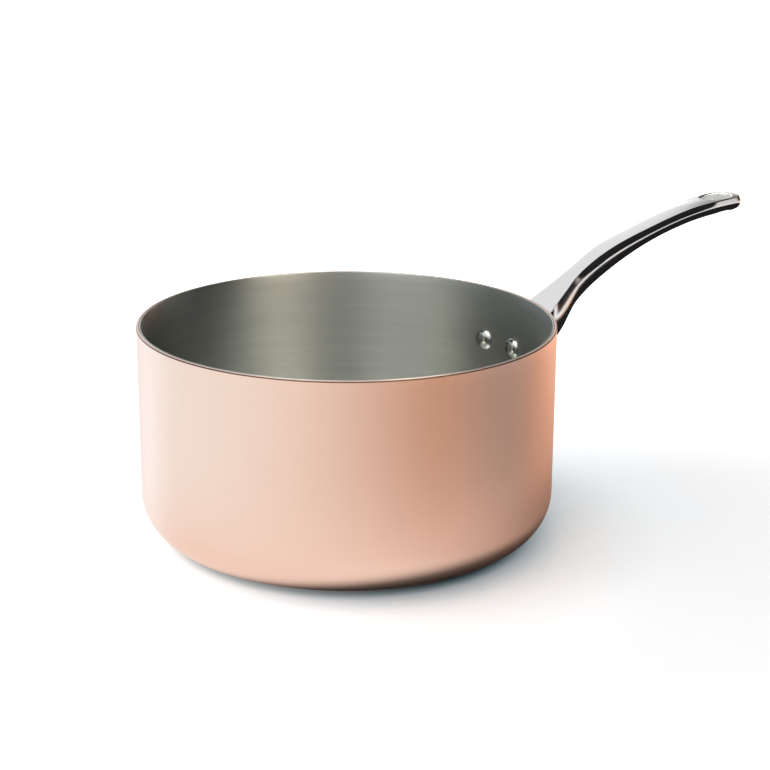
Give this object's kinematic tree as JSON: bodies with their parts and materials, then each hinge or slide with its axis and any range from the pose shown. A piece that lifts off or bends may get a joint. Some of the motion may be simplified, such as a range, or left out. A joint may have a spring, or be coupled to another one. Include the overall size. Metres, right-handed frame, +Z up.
{
  "type": "saucepan",
  "caption": "Straight-sided copper saucepan with a bonded steel lining and a long curved cast steel handle riveted to the wall.",
  "frame": {"origin": "centre of the flat base, on the surface the pan stands on", "axes": "+X along the handle away from the pan, +Z up out of the pan"},
  "size_m": [0.375, 0.2, 0.1341],
  "materials": {
    "satin_copper": "fine satin copper",
    "brushed_lining": "brushed round the pan",
    "cast_steel": "polished cast stainless steel",
    "polished_rivet": "polished"
  },
  "bodies": {
    "root": {"copper_shell": "satin_copper", "steel_lining": "brushed_lining", "handle": "cast_steel", "rivet_left": "polished_rivet", "rivet_right": "polished_rivet"}
  },
  "joints": []
}
